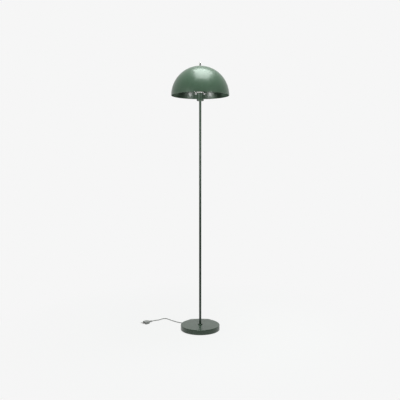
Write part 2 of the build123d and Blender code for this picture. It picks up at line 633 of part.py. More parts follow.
with BuildPart() as switch_knob:
    with BuildSketch(Plane(origin=(0, KNOB_FROM_Y, SWITCH_Z), **BEHIND)):
        Circle(KNOB_RADIUS)
        with PolarLocations(KNOB_RADIUS + KNOB_FLUTE_OUT, KNOB_FLUTES):
            Circle(KNOB_FLUTE_RADIUS, mode=Mode.SUBTRACT)
    extrude(amount=KNOB_LONG, taper=KNOB_TAPER)
    chamfer(switch_knob.faces().sort_by(Axis.Y)[-1].edges(), KNOB_BEVEL)
    with BuildSketch(Plane(origin=(0, KNOB_FROM_Y, SWITCH_Z), **BEHIND)):
        Circle(STEM_RADIUS + PRESS_FIT)
    extrude(amount=KNOB_BORE_DEEP, mode=Mode.SUBTRACT)
save(switch_knob, "switch_knob")

# ---------------------------------------------------------------- shade carrier
# Ribbed ring that screws down on the sleeve and clamps the carrier on the cup's rim
with BuildPart() as shade_ring:
    with BuildSketch(Plane.XY.offset(CARRIER_TOP)):
        Circle(SHADE_RING_RADIUS)
        with PolarLocations(SHADE_RING_RADIUS, SHADE_RING_RIBS):
            Circle(SHADE_RING_RIB_DEEP, mode=Mode.SUBTRACT)
        Circle(SLEEVE_RADIUS + SHADE_RING_FIT, mode=Mode.SUBTRACT)
    extrude(amount=SLEEVE_TOP - CARRIER_TOP)
save(shade_ring, "shade_ring")

carrier_ring = disc_ring(CARRIER_RADIUS, SLEEVE_RADIUS + CARRIER_FIT, CUP_TOP, CARRIER_TOP)
save(carrier_ring, "carrier_ring")

# Wires: bowed outwards, then bent in to the boss
wire_azimuths = [WIRE_FIRST_AZIMUTH + 360 / WIRE_COUNT * number for number in range(WIRE_COUNT)]
with BuildPart() as carrier_wires:
    for azimuth in wire_azimuths:
        upright = Plane(
            origin=(0, 0, CARRIER_TOP),
            x_dir=(math.cos(math.radians(azimuth)), math.sin(math.radians(azimuth)), 0),
            z_dir=(math.sin(math.radians(azimuth)), -math.cos(math.radians(azimuth)), 0),
        )
        with BuildLine(upright) as wire_line:
            Line((WIRE_CIRCLE - math.sin(WIRE_LEAN), -math.cos(WIRE_LEAN)), (WIRE_CIRCLE, 0))
            ThreePointArc(
                (WIRE_CIRCLE, 0),
                (WIRE_CIRCLE + WIRE_BOW, WIRE_BOW_HIGH / 2),
                (WIRE_CIRCLE, WIRE_BOW_HIGH),
            )
            halfway = (WIRE_LEAN + math.pi / 2) / 2
            ThreePointArc(
                (WIRE_CIRCLE, WIRE_BOW_HIGH),
                (
                    WIRE_BEND_R + WIRE_TOP_BEND * math.cos(halfway),
                    WIRE_BOW_HIGH - WIRE_TOP_BEND * (math.sin(WIRE_LEAN) - math.sin(halfway)),
                ),
                (WIRE_BEND_R, WIRE_BEND_Z - CARRIER_TOP),
            )
            Line((WIRE_BEND_R, WIRE_BEND_Z - CARRIER_TOP), (BOSS_RADIUS, WIRE_BEND_Z - CARRIER_TOP))
        with BuildSketch(Plane(origin=wire_line.line @ 0, z_dir=wire_line.line % 0)):
            Circle(WIRE_RADIUS)
        sweep(path=wire_line.line)
    split(bisect_by=Plane.XY.offset(CARRIER_TOP), keep=Keep.TOP)
save(carrier_wires, "carrier_wires")

with BuildPart() as carrier_boss:
    with BuildSketch(Plane.XY.offset(BOSS_TOP - BOSS_HIGH)):
        Circle(BOSS_RADIUS)
    extrude(amount=BOSS_HIGH)
    chamfer(carrier_boss.faces().sort_by(Axis.Z)[0].edges(), BOSS_BEVEL)
    with BuildSketch(Plane.XY.offset(BOSS_TOP)):
        Circle(STUD_RADIUS)
    extrude(amount=STUD_TOP - BOSS_TOP)
    chamfer(carrier_boss.faces().sort_by(Axis.Z)[-1].edges(), STUD_BEVEL)
save(carrier_boss, "carrier_boss")

# ---------------------------------------------------------------- shade
# Spun steel half sphere, its rim folded inwards on itself
with BuildPart() as shade_dome:
    inner_radius = SHADE_RADIUS - SHADE_WALL
    hem_radius = inner_radius - HEM_EXTRA
    hem_meets = math.sqrt(inner_radius**2 - HEM_HIGH**2)
    with BuildSketch(Plane.XZ):
        with BuildLine():
            outer_end = (SHADE_HOLE_RADIUS, SHADE_RIM_Z + math.sqrt(SHADE_RADIUS**2 - SHADE_HOLE_RADIUS**2))
            inner_end = (SHADE_HOLE_RADIUS, SHADE_RIM_Z + math.sqrt(inner_radius**2 - SHADE_HOLE_RADIUS**2))
            half = math.sqrt(0.5)
            ThreePointArc(
                (SHADE_RADIUS, SHADE_RIM_Z),
                (SHADE_RADIUS * half, SHADE_RIM_Z + SHADE_RADIUS * half),
                outer_end,
            )
            Line(outer_end, inner_end)
            ThreePointArc(
                inner_end,
                (inner_radius * half, SHADE_RIM_Z + inner_radius * half),
                (hem_meets, SHADE_RIM_Z + HEM_HIGH),
            )
            Polyline(
                (hem_meets, SHADE_RIM_Z + HEM_HIGH),
                (hem_radius, SHADE_RIM_Z + HEM_HIGH),
                (hem_radius, SHADE_RIM_Z),
                (SHADE_RADIUS, SHADE_RIM_Z),
            )
        make_face()
    revolve(axis=Axis.Z)
    chamfer(shade_dome.faces().filter_by(GeomType.PLANE).sort_by(Axis.Z)[0].edges(), HEM_ROUND)
save(shade_dome, "shade_dome")

crown_bore = STUD_RADIUS + STUD_HOLE_FIT
lower_washer = disc_ring(CROWN_WASHER_RADIUS, crown_bore, BOSS_TOP, BOSS_TOP + CROWN_WASHER_THICK)
save(lower_washer, "lower_washer")
upper_washer = disc_ring(CROWN_WASHER_RADIUS, crown_bore, CROWN_Z, CROWN_Z + CROWN_WASHER_THICK)
save(upper_washer, "upper_washer")

# Turned finial: flange, cove, neck and ball, screwed on the stud
with BuildPart() as finial:
    with BuildSketch(Plane.XZ):
        with BuildLine():
            flange_top = FINIAL_Z + FINIAL_FLANGE_THICK
            cove = FINIAL_FLANGE_RADIUS - FINIAL_NECK_RADIUS
            ball_z = FINIAL_Z + FINIAL_HIGH - FINIAL_RADIUS
            ball_meets = ball_z - math.sqrt(FINIAL_RADIUS**2 - FINIAL_NECK_RADIUS**2)
            Polyline((0, FINIAL_Z), (FINIAL_FLANGE_RADIUS, FINIAL_Z), (FINIAL_FLANGE_RADIUS, flange_top))
            ThreePointArc(
                (FINIAL_FLANGE_RADIUS, flange_top),
                (FINIAL_FLANGE_RADIUS - cove * math.sqrt(0.5), flange_top + cove * (1 - math.sqrt(0.5))),
                (FINIAL_NECK_RADIUS, flange_top + cove),
            )
            Line((FINIAL_NECK_RADIUS, flange_top + cove), (FINIAL_NECK_RADIUS, ball_meets))
            ThreePointArc((FINIAL_NECK_RADIUS, ball_meets), (FINIAL_RADIUS, ball_z), (0, FINIAL_Z + FINIAL_HIGH))
            Line((0, FINIAL_Z + FINIAL_HIGH), (0, FINIAL_Z))
        make_face()
    revolve(axis=Axis.Z)
    with BuildSketch(Plane.XY.offset(FINIAL_Z)):
        Circle(STUD_RADIUS + FINIAL_FIT)
    extrude(amount=STUD_UP + FINIAL_BORE_OVER, mode=Mode.SUBTRACT)
save(finial, "finial")

# ---------------------------------------------------------------- bulb
with BuildPart() as bulb_contact:
    with BuildSketch(Plane.XY.offset(BUTTON_LOW)):
        Circle(CONTACT_BUTTON_RADIUS)
    extrude(amount=BUTTON_HIGH)
    chamfer(bulb_contact.faces().sort_by(Axis.Z)[0].edges(), BUTTON_BEVEL)
save(bulb_contact, "bulb_contact")

with BuildPart() as bulb_insulator:
    with BuildSketch(Plane.XY.offset(BUTTON_LOW + BUTTON_HIGH)):
        Circle(CONTACT_BUTTON_RADIUS + INSULATOR_FOOT_OVER)
    with BuildSketch(Plane.XY.offset(CAP_LOW)):
        Circle(CAP_RADIUS - INSULATOR_INSET)
    loft()
save(bulb_insulator, "bulb_insulator")

with BuildPart() as bulb_cap:
    with BuildSketch(Plane.XY.offset(CAP_LOW)):
        Circle(CAP_RADIUS)
    extrude(amount=CAP_TOP - CAP_LOW)
    chamfer(bulb_cap.faces().sort_by(Axis.Z)[0].edges(), CAP_BEVEL)
    with BuildSketch(Plane.XY.offset(CAP_TOP)):
        Circle(CAP_RADIUS - CAP_WALL)
    extrude(amount=-(CAP_TOP - CAP_LOW - CAP_FLOOR), mode=Mode.SUBTRACT)
save(bulb_cap, "bulb_cap")

# Housing: neck inside the cap, then a flared body up to the seat of the globe
with BuildPart() as bulb_housing:
    with BuildSketch(Plane.XZ):
        with BuildLine():
            neck = CAP_RADIUS - CAP_WALL - BULB_NECK_FIT
            neck_low = CAP_LOW + CAP_FLOOR
            flare_low = CAP_TOP + BULB_COLLAR_HIGH
            flare_mid_radius = (BULB_NECK_RADIUS + BULB_SEAT_RADIUS) / 2 - BULB_FLARE_IN
            Polyline(
                (0, neck_low),
                (neck, neck_low),
                (neck, CAP_TOP),
                (BULB_NECK_RADIUS, CAP_TOP),
                (BULB_NECK_RADIUS, flare_low),
            )
            ThreePointArc(
                (BULB_NECK_RADIUS, flare_low),
                (flare_mid_radius, (flare_low + BULB_SEAT_Z) / 2 + BULB_FLARE_UP),
                (BULB_SEAT_RADIUS, BULB_SEAT_Z),
            )
            Polyline((BULB_SEAT_RADIUS, BULB_SEAT_Z), (0, BULB_SEAT_Z), (0, neck_low))
        make_face()
    revolve(axis=Axis.Z)
save(bulb_housing, "bulb_housing")

with BuildPart() as bulb_globe:
    with BuildSketch(Plane.XZ):
        with BuildLine():
            glass_inner = BULB_GLOBE_RADIUS - BULB_GLASS
            inner_seat = math.sqrt(glass_inner**2 - (GLOBE_Z - BULB_SEAT_Z) ** 2)
            ThreePointArc(
                (BULB_SEAT_RADIUS, BULB_SEAT_Z),
                (BULB_GLOBE_RADIUS, GLOBE_Z),
                (0, GLOBE_Z + BULB_GLOBE_RADIUS),
            )
            Line((0, GLOBE_Z + BULB_GLOBE_RADIUS), (0, GLOBE_Z + glass_inner))
            ThreePointArc((0, GLOBE_Z + glass_inner), (glass_inner, GLOBE_Z), (inner_seat, BULB_SEAT_Z))
            Line((inner_seat, BULB_SEAT_Z), (BULB_SEAT_RADIUS, BULB_SEAT_Z))
        make_face()
    revolve(axis=Axis.Z)
save(bulb_globe, "bulb_globe")

# ---------------------------------------------------------------- lead inside the lamp
# From the tip of the gland along the slot, up through the rods and the pole
with BuildPart() as inner_lead:
    with BuildLine(GLAND_PLANE) as inner_path:
        FilletPolyline(
            (GLAND_TIP, 0),
            (0, 0),
            (0, LEAD_END_Z - GLAND_Z),
            radius=LEAD_BEND,
        )
    with BuildSketch(Plane(origin=inner_path.line @ 0, z_dir=inner_path.line % 0)):
        Circle(CORD_RADIUS)
    sweep(path=inner_path.line)
save(inner_lead, "inner_lead")

# Two insulated cores out of the sheath's end, and across to the terminals
with BuildPart() as lead_cores:
    for side in (-1, 1):
        corner = Vector(side * CORE_APART, 0, LEAD_END_Z + CORE_RADIUS)
        terminal_x = TERMINAL_AT_X - TERMINAL_SCREW_RADIUS - CORE_TO_SCREW
        terminal = Vector(side * terminal_x, TERMINAL_AT_Y + CORE_BESIDE_SCREW, corner.Z)
        with BuildSketch(Plane.XY.offset(LEAD_END_Z)):
            with Locations((corner.X, corner.Y)):
                Circle(CORE_RADIUS)
        extrude(amount=2 * CORE_RADIUS)
        with BuildSketch(Plane(origin=corner, z_dir=terminal - corner)):
            Circle(CORE_RADIUS)
        extrude(amount=(terminal - corner).length)
save(lead_cores, "lead_cores")

# ---------------------------------------------------------------- free mains lead
# Runs on the floor: gland to hank, the hank, hank to plug. The three share one eight-sided section,
# which keeps the many turns light.
lead_points = [
    tuple(RADIAL * GLAND_TIP + Vector(0, 0, GLAND_Z)),
    (79.2, 137.2, GLAND_Z),
    (66.0, HANK_REAR, HANK_LOW),
    (HANK_RIGHT + HANK_END_RUN, HANK_REAR, HANK_LOW),
]
lead_radii = corner_radii(lead_points)
print("cord_lead corner radii:", [round(radius, 1) for radius in lead_radii])
with BuildPart() as cord_lead:
    with BuildLine() as lead_path:
        FilletPolyline(*lead_points, radius=lead_radii)
    with BuildSketch(Plane(origin=lead_path.line @ 0, z_dir=lead_path.line % 0)):
        RegularPolygon(CORD_RADIUS, 8, rotation=22.5)
    sweep(path=lead_path.line)
save(cord_lead, "cord_lead")

# Hank: straight runs between a fold at the left and a fold at the right.
# Each row is the next run's distance behind the lamp; odd folds are at the left.
LOWER_ROWS = [
    HANK_REAR,
    HANK_FRONT,
    HANK_REAR - HANK_PITCH,
    HANK_FRONT + HANK_PITCH,
    HANK_REAR - 2 * HANK_PITCH,
]
UPPER_ROWS = LOWER_ROWS[::-1]


def fold(side, y_from, y_to, z):
    """Half turn between two rows, at the left (-1) or the right (+1) end of the hank."""
    x = HANK_LEFT if side < 0 else HANK_RIGHT
    middle = (y_from + y_to) / 2
    return ThreePointArc((x, y_from, z), (x + side * abs(y_from - y_to) / 2, middle, z), (x, y_to, z))


with BuildPart() as cord_hank:
    with BuildLine() as hank_path:
        Line((HANK_RIGHT + HANK_END_RUN, HANK_REAR, HANK_LOW), (HANK_LEFT, HANK_REAR, HANK_LOW))
        for number, (y_from, y_to) in enumerate(zip(LOWER_ROWS, LOWER_ROWS[1:])):
            side = -1 if number % 2 == 0 else 1
            fold(side, y_from, y_to, HANK_LOW)
            if number < len(LOWER_ROWS) - 2:
                far = HANK_RIGHT if side < 0 else HANK_LEFT
                near = HANK_LEFT if side < 0 else HANK_RIGHT
                Line((near, y_to, HANK_LOW), (far, y_to, HANK_LOW))
        climb = [
            (HANK_RIGHT, LOWER_ROWS[-1], HANK_LOW),
            (HANK_LIFT / 2, LOWER_ROWS[-1], HANK_LOW),
            (-HANK_LIFT / 2, LOWER_ROWS[-1], HANK_HIGH),
            (HANK_LEFT, LOWER_ROWS[-1], HANK_HIGH),
        ]
        FilletPolyline(*climb, radius=corner_radii(climb))
        for number, (y_from, y_to) in enumerate(zip(UPPER_ROWS, UPPER_ROWS[1:])):
            side = -1 if number % 2 == 0 else 1
            fold(side, y_from, y_to, HANK_HIGH)
            far = HANK_RIGHT if side < 0 else HANK_LEFT
            near = HANK_LEFT if side < 0 else HANK_RIGHT
            Line((near, y_to, HANK_HIGH), (far, y_to, HANK_HIGH))
        last_radius = (HANK_REAR - HANK_FRONT + HANK_PITCH) / 2
        turned = math.radians(HANK_LEAVES_AFTER)
        last_centre = Vector(HANK_LEFT, HANK_REAR - last_radius, HANK_HIGH)
        arc_end = last_centre + Vector(-math.sin(turned), math.cos(turned), 0) * last_radius
        arc_mid = last_centre + Vector(-math.sin(turned / 2), math.cos(turned / 2), 0) * last_radius
        heading = Vector(-math.cos(turned), -math.sin(turned), 0)
        hank_end = arc_end + heading * HANK_END_RUN
        ThreePointArc((HANK_LEFT, HANK_REAR, HANK_HIGH), tuple(arc_mid), tuple(arc_end))
        Line(tuple(arc_end), tuple(hank_end))
    with BuildSketch(Plane(origin=(HANK_RIGHT + HANK_END_RUN, HANK_REAR, HANK_LOW), x_dir=(0, 1, 0), z_dir=(-1, 0, 0))):
        RegularPolygon(CORD_RADIUS, 8, rotation=22.5)
    sweep(path=hank_path.line)
save(cord_hank, "cord_hank")

# Least gap between the hank's own turns, along its middle line
hank_wire = hank_path.wires()[0]
steps = 900
walk = [hank_wire @ (step / steps) for step in range(steps + 1)]
apart = int(25 * steps / hank_wire.length)
least = min(
    math.dist(tuple(walk[first]), tuple(walk[second]))
    for first in range(steps + 1)
    for second in range(first + apart, steps + 1)
)
print("hank length:", round(hank_wire.length, 1), "least gap to itself:", round(least - 2 * CORD_RADIUS, 2))

# Flat tie round the hank
with BuildPart() as cord_tie:
    with BuildSketch(Plane(origin=(-TIE_WIDE / 2, 0, 0), x_dir=(0, 1, 0), z_dir=(1, 0, 0))):
        tie_deep = HANK_REAR - HANK_FRONT + 2 * (CORD_RADIUS + TIE_FIT + TIE_THICK)
        tie_high = HANK_HIGH + CORD_RADIUS + TIE_FIT + TIE_THICK
        with Locations(((HANK_REAR + HANK_FRONT) / 2, tie_high / 2)):
            RectangleRounded(tie_deep, tie_high, TIE_CORNER)
            RectangleRounded(
                tie_deep - 2 * TIE_THICK,
                tie_high - 2 * TIE_THICK,
                TIE_CORNER - TIE_THICK,
                mode=Mode.SUBTRACT,
            )
    extrude(amount=TIE_WIDE)
save(cord_tie, "cord_tie")

PLUG_AIM = Vector(math.cos(math.radians(PLUG_AZIMUTH)), math.sin(math.radians(PLUG_AZIMUTH)), 0)
PLUG_AT = Vector(PLUG_X, PLUG_Y, PLUG_Z)
tail_points = [
    tuple(hank_end),
    tuple(hank_end + heading * 12),
    (-82.0, 122.5, 4.2),
    (-102.5, 101.0, CORD_RADIUS),
    (-140.5, 127.5, CORD_RADIUS),
    (-178.5, 165.0, CORD_RADIUS),
    (-202.0, 195.5, CORD_RADIUS),
    (-222.0, 196.5, CORD_RADIUS),
    (-235.0, 182.5, CORD_RADIUS),
    (-250.0, 163.8, CORD_RADIUS),
    tuple(PLUG_AT - PLUG_AIM * PLUG_RUN_IN),
    tuple(PLUG_AT),
]
tail_radii = corner_radii(tail_points)
print("cord_tail corner radii:", [round(radius, 1) for radius in tail_radii])
tail_runs = [(Vector(end) - Vector(start)).length for start, end in zip(tail_points, tail_points[1:])]
print("cord_tail runs:", [round(run, 1) for run in tail_runs])
with BuildPart() as cord_tail:
    with BuildLine() as tail_path:
        FilletPolyline(*tail_points, radius=tail_radii)
    with BuildSketch(Plane(origin=tail_path.line @ 0, x_dir=(0, 0, 1), z_dir=tail_path.line % 0)):
        RegularPolygon(CORD_RADIUS, 8, rotation=22.5)
    sweep(path=tail_path.line)
save(cord_tail, "cord_tail")
free_length = sum(path.wires()[0].length for path in (lead_path, hank_path, tail_path))
print("free lead length:", round(free_length, 1))

# Flat two-pin plug, lying on its broad side, with a flexible relief on the lead
PLUG_PLANE = Plane(origin=PLUG_AT, x_dir=PLUG_AIM, z_dir=(0, 0, 1))
with BuildPart() as plug_body:
    with BuildSketch(PLUG_PLANE.offset(-PLUG_THICK / 2)):
        with BuildLine():
            start, end = PLUG_RELIEF, PLUG_RELIEF + PLUG_LONG
            half_wide = PLUG_WIDE / 2
            Polyline(
                (start, -PLUG_NECK_HALF),
                (start + PLUG_SHOULDER_LONG, -half_wide),
                (end, -half_wide),
                (end, half_wide),
                (start + PLUG_SHOULDER_LONG, half_wide),
                (start, PLUG_NECK_HALF),
                close=True,
            )
        plug_outline = make_face()
        fillet(plug_outline.vertices(), PLUG_CORNER)
    extrude(amount=PLUG_THICK)
    fillet(plug_body.edges().filter_by(Plane.XY), PLUG_EDGE)
    with BuildSketch(Plane(origin=PLUG_AT, x_dir=(0, 0, 1), z_dir=PLUG_AIM)):
        Circle(PLUG_RELIEF_TIP)
    relief_root = PLUG_AT + PLUG_AIM * (PLUG_RELIEF + PLUG_RELIEF_IN)
    with BuildSketch(Plane(origin=relief_root, x_dir=(0, 0, 1), z_dir=PLUG_AIM)):
        Circle(PLUG_RELIEF_ROOT)
    loft()
save(plug_body, "plug_body")

with BuildPart() as plug_pins:
    for side in (-1, 1):
        foot = PLUG_PLANE.from_local_coords(Vector(PLUG_RELIEF + PLUG_LONG, side * PLUG_PIN_APART / 2, 0))
        with BuildSketch(Plane(origin=foot, x_dir=(0, 0, 1), z_dir=PLUG_AIM)):
            Circle(PLUG_PIN_RADIUS)
        extrude(amount=PLUG_PIN_LONG)
    pin_ends = plug_pins.faces().sort_by(Axis(origin=PLUG_AT, direction=PLUG_AIM))[-2:]
    fillet(pin_ends.edges(), PLUG_PIN_END)
save(plug_pins, "plug_pins")
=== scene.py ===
"""Looks of the mushroom floor lamp: its finishes, its free lead and the studio it stands in.

Objects are in metres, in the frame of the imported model: +Z up, +X right, +Y away from the camera.
The lead's route, the tape's path and the sizes of patterns are written in millimetres.
"""

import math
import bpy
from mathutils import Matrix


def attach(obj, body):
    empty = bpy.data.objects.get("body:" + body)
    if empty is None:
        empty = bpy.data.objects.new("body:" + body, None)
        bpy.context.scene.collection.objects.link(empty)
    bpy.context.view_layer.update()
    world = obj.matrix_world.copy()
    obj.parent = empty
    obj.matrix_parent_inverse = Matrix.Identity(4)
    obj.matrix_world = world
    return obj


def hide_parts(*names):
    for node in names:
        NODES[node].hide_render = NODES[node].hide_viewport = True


bl_info = {
    "name": "Mushroom floor lamp",
    "version": (1, 0, 0),
    "blender": (4, 5, 0),
    "location": "3D View > Sidebar > Lamp",
    "description": "Finishes the parts of a floor lamp, lays its lead and sets up its studio",
    "category": "Object",
}

import bpy
from mathutils import Vector

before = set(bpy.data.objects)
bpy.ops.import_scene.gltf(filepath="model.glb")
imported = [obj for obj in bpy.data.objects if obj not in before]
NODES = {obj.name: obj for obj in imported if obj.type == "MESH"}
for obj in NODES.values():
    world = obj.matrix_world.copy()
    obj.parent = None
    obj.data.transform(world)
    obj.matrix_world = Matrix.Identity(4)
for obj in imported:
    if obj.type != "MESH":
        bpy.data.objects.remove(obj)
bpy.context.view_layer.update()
MM = 0.001


# ---------------------------------------------------------------- colours and nodes

# Noise seldom leaves the middle of its range, so that part of it is stretched to the whole
COLOUR_STRETCH = {"From Min": 0.35, "From Max": 0.65}
GLOSS_STRETCH = {"From Min": 0.3, "From Max": 0.7}
# Sockets of a Mix node when it mixes colours
MIX_FIRST = 6
MIX_SECOND = 7
MIX_RESULT = 2
WAVE_PERIOD = math.pi / 10  # how far apart a wave texture's bands are at a scale of 1


def linear(hex_colour):
    """An sRGB hex colour as the linear RGBA that shaders and lights take."""
    channels = [int(hex_colour[place:place + 2], 16) / 255 for place in (1, 3, 5)]
    levels = [c / 12.92 if c <= 0.04045 else ((c + 0.055) / 1.055) ** 2.4 for c in channels]
    return (*levels, 1.0)


def add_node(tree, kind, settings=None, links=None):
    """A node of that kind, with settings by attribute or input name, and with links to its inputs."""
    node = tree.nodes.new(kind)
    for name, value in (settings or {}).items():
        if hasattr(node, name):
            setattr(node, name, value)
        else:
            node.inputs[name].default_value = value
    for name, output in (links or {}).items():
        tree.links.new(output, node.inputs[name])
    return node


def new_material(name, **settings):
    """A material with a plain Principled shader: (material, node tree, shader, object coordinates)."""
    material = bpy.data.materials.new(name)
    material.use_nodes = True
    tree = material.node_tree
    tree.nodes.clear()
    shader = add_node(tree, "ShaderNodeBsdfPrincipled", settings)
    add_node(tree, "ShaderNodeOutputMaterial", links={"Surface": shader.outputs["BSDF"]})
    coordinates = add_node(tree, "ShaderNodeTexCoord").outputs["Object"]
    return material, tree, shader, coordinates


def finish(name, make, *details):
    """The material of that name, made by its function when a piece first asks for it."""
    return bpy.data.materials.get(name) or make(*details)


def per_metre(size_mm):
    """A texture's scale for features of that size in millimetres."""
    return 1 / (size_mm * MM)


def vary_colour(tree, shader, coordinates, first, second, size_mm, detail=2.0):
    """Clouds between two close colours, for what dye, plating and handling do to a surface."""
    texture = {"Scale": per_metre(size_mm), "Detail": detail}
    clouds = add_node(tree, "ShaderNodeTexNoise", texture, {"Vector": coordinates})
    spread = add_node(tree, "ShaderNodeMapRange", COLOUR_STRETCH, {"Value": clouds.outputs["Fac"]})
    blend = add_node(tree, "ShaderNodeMix", {"data_type": "RGBA"}, {"Factor": spread.outputs["Result"]})
    blend.inputs[MIX_FIRST].default_value = first
    blend.inputs[MIX_SECOND].default_value = second
    tree.links.new(blend.outputs[MIX_RESULT], shader.inputs["Base Color"])


def vary_roughness(tree, shader, coordinates, low, high, size_mm):
    """Clouds of gloss between two roughness values."""
    texture = {"Scale": per_metre(size_mm), "Detail": 3.0}
    clouds = add_node(tree, "ShaderNodeTexNoise", texture, {"Vector": coordinates})
    limits = {**GLOSS_STRETCH, "To Min": low, "To Max": high}
    gloss = add_node(tree, "ShaderNodeMapRange", limits, {"Value": clouds.outputs["Fac"]})
    tree.links.new(gloss.outputs["Result"], shader.inputs["Roughness"])


def raise_grain(tree, shader, coordinates, size_mm, depth_mm, strength):
    """Bump of fine grain: its size across and its depth are real sizes."""
    texture = {"Scale": per_metre(size_mm), "Detail": 2.0}
    grain = add_node(tree, "ShaderNodeTexNoise", texture, {"Vector": coordinates})
    relief = {"Strength": strength, "Distance": depth_mm * MM}
    bump = add_node(tree, "ShaderNodeBump", relief, {"Height": grain.outputs["Fac"]})
    tree.links.new(bump.outputs["Normal"], shader.inputs["Normal"])


# ---------------------------------------------------------------- finishes


def powder_coat(finishes):
    """Polyester powder coat on steel, stoved: an even green gloss with a faint orange peel."""
    settings = {"IOR": 1.5, "Coat Weight": finishes.paint_flow, "Coat Roughness": 0.15, "Coat IOR": 1.5}
    material, tree, shader, at = new_material("powder_coated_steel_green", **settings)
    deeper = [0.93 * channel for channel in finishes.paint[:3]] + [1.0]
    vary_colour(tree, shader, at, tuple(finishes.paint), tuple(deeper), size_mm=90)
    duller = finishes.paint_roughness + 0.04
    vary_roughness(tree, shader, at, finishes.paint_roughness, duller, size_mm=35)
    raise_grain(tree, shader, at, size_mm=2.5, depth_mm=0.01, strength=0.2)
    return material


def cast_iron():
    """Grey iron as it leaves the sand: dark, rough and slightly pitted."""
    material, tree, shader, at = new_material("sand_cast_grey_iron", Metallic=0.6)
    vary_colour(tree, shader, at, linear("#3A3A3B"), linear("#2A2928"), size_mm=12, detail=5.0)
    vary_roughness(tree, shader, at, 0.6, 0.85, size_mm=5)
    raise_grain(tree, shader, at, size_mm=1.2, depth_mm=0.25, strength=0.7)
    return material


def foam_pad():
    """Closed-cell foam, cut to a ring: matt black, with the small open cells of its cut faces."""
    material, tree, shader, at = new_material("closed_cell_foam_black", Roughness=0.92, IOR=1.5)
    vary_colour(tree, shader, at, linear("#202021"), linear("#161617"), size_mm=9)
    raise_grain(tree, shader, at, size_mm=0.8, depth_mm=0.2, strength=0.7)
    return material


def zinc_plate():
    """Steel turned or stamped, then bright zinc plated: pale bluish grey with cloudy gloss."""
    material, tree, shader, at = new_material("zinc_plated_steel", Metallic=1.0)
    vary_colour(tree, shader, at, linear("#B9BDC2"), linear("#A7A9A6"), size_mm=8)
    vary_roughness(tree, shader, at, 0.28, 0.42, size_mm=3)
    raise_grain(tree, shader, at, size_mm=0.4, depth_mm=0.01, strength=0.3)
    return material


def nickel_plate(finishes):
    """Polished nickel plate: a nearly mirror-bright grey with faint polishing haze."""
    material, tree, shader, at = new_material("polished_nickel_plate", Metallic=1.0)
    worn = [0.94 * channel for channel in finishes.nickel[:3]] + [1.0]
    vary_colour(tree, shader, at, tuple(finishes.nickel), tuple(worn), size_mm=14)
    vary_roughness(tree, shader, at, 0.07, 0.13, size_mm=4)
    return material


def drawn_brass():
    """Brass strip and rod, bright but unlacquered: warm yellow with thin brown bloom."""
    material, tree, shader, at = new_material("drawn_brass", Metallic=1.0)
    vary_colour(tree, shader, at, linear("#C9A45C"), linear("#A8824A"), size_mm=5)
    vary_roughness(tree, shader, at, 0.22, 0.38, size_mm=2.5)
    return material


def phenolic():
    """Pressed phenolic resin: near black, dull gloss, a trace of wood flour in it."""
    material, tree, shader, at = new_material("pressed_phenolic_black", IOR=1.6)
    vary_colour(tree, shader, at, linear("#1C1A19"), linear("#121110"), size_mm=2.5, detail=4.0)
    vary_roughness(tree, shader, at, 0.34, 0.46, size_mm=5)
    return material


def urea_white(finishes):
    """Moulded urea resin of the shade ring: dense glossy white."""
    material, tree, shader, at = new_material("moulded_urea_white", IOR=1.55)
    red, green, blue, _ = finishes.ring_white
    creamier = (red, 0.985 * green, 0.955 * blue, 1.0)
    vary_colour(tree, shader, at, tuple(finishes.ring_white), creamier, size_mm=10)
    vary_roughness(tree, shader, at, 0.24, 0.32, size_mm=6)
    return material


def knob_plastic():
    """Moulded ABS of the switch: black, satin from a lightly etched tool."""
    material, tree, shader, at = new_material("moulded_abs_black", IOR=1.54)
    vary_colour(tree, shader, at, linear("#202021"), linear("#19191A"), size_mm=4)
    vary_roughness(tree, shader, at, 0.3, 0.4, size_mm=2)
    raise_grain(tree, shader, at, size_mm=0.3, depth_mm=0.01, strength=0.3)
    return material


def fibre_washer():
    """Vulcanised fibre: red-brown, dry and faintly mottled."""
    material, tree, shader, at = new_material("vulcanised_fibre", Roughness=0.72)
    vary_colour(tree, shader, at, linear("#6E4433"), linear("#573428"), size_mm=1.6, detail=4.0)
    return material


def cap_aluminium():
    """Rolled aluminium of the bulb's cap: pale, even gloss, with a faint grain from the press."""
    material, tree, shader, at = new_material("rolled_aluminium_cap", Metallic=1.0, Roughness=0.3)
    vary_colour(tree, shader, at, linear("#C9CACB"), linear("#B5B6B7"), size_mm=5)
    raise_grain(tree, shader, at, size_mm=0.5, depth_mm=0.01, strength=0.3)
    return material


def cap_glass():
    """Black glass that holds the bulb's contact: smooth and deep."""
    material, tree, shader, at = new_material("black_cap_glass", Roughness=0.12, IOR=1.52)
    vary_colour(tree, shader, at, linear("#131316"), linear("#0D0D10"), size_mm=3)
    return material


def bulb_housing_white():
    """Moulded polybutylene housing of the bulb: white, satin."""
    material, tree, shader, at = new_material("moulded_housing_white", IOR=1.55)
    vary_colour(tree, shader, at, linear("#ECECE8"), linear("#E4E3DD"), size_mm=12)
    vary_roughness(tree, shader, at, 0.38, 0.46, size_mm=6)
    return material


def opal_diffuser():
    """Opal polycarbonate globe: milky, soft gloss, light scattered in its wall."""
    settings = {"IOR": 1.58, "Subsurface Weight": 0.35, "Subsurface Scale": 2 * MM}
    material, tree, shader, at = new_material("opal_polycarbonate", **settings)
    vary_colour(tree, shader, at, linear("#F3F1EA"), linear("#EEEBE2"), size_mm=16)
    vary_roughness(tree, shader, at, 0.3, 0.38, size_mm=8)
    return material


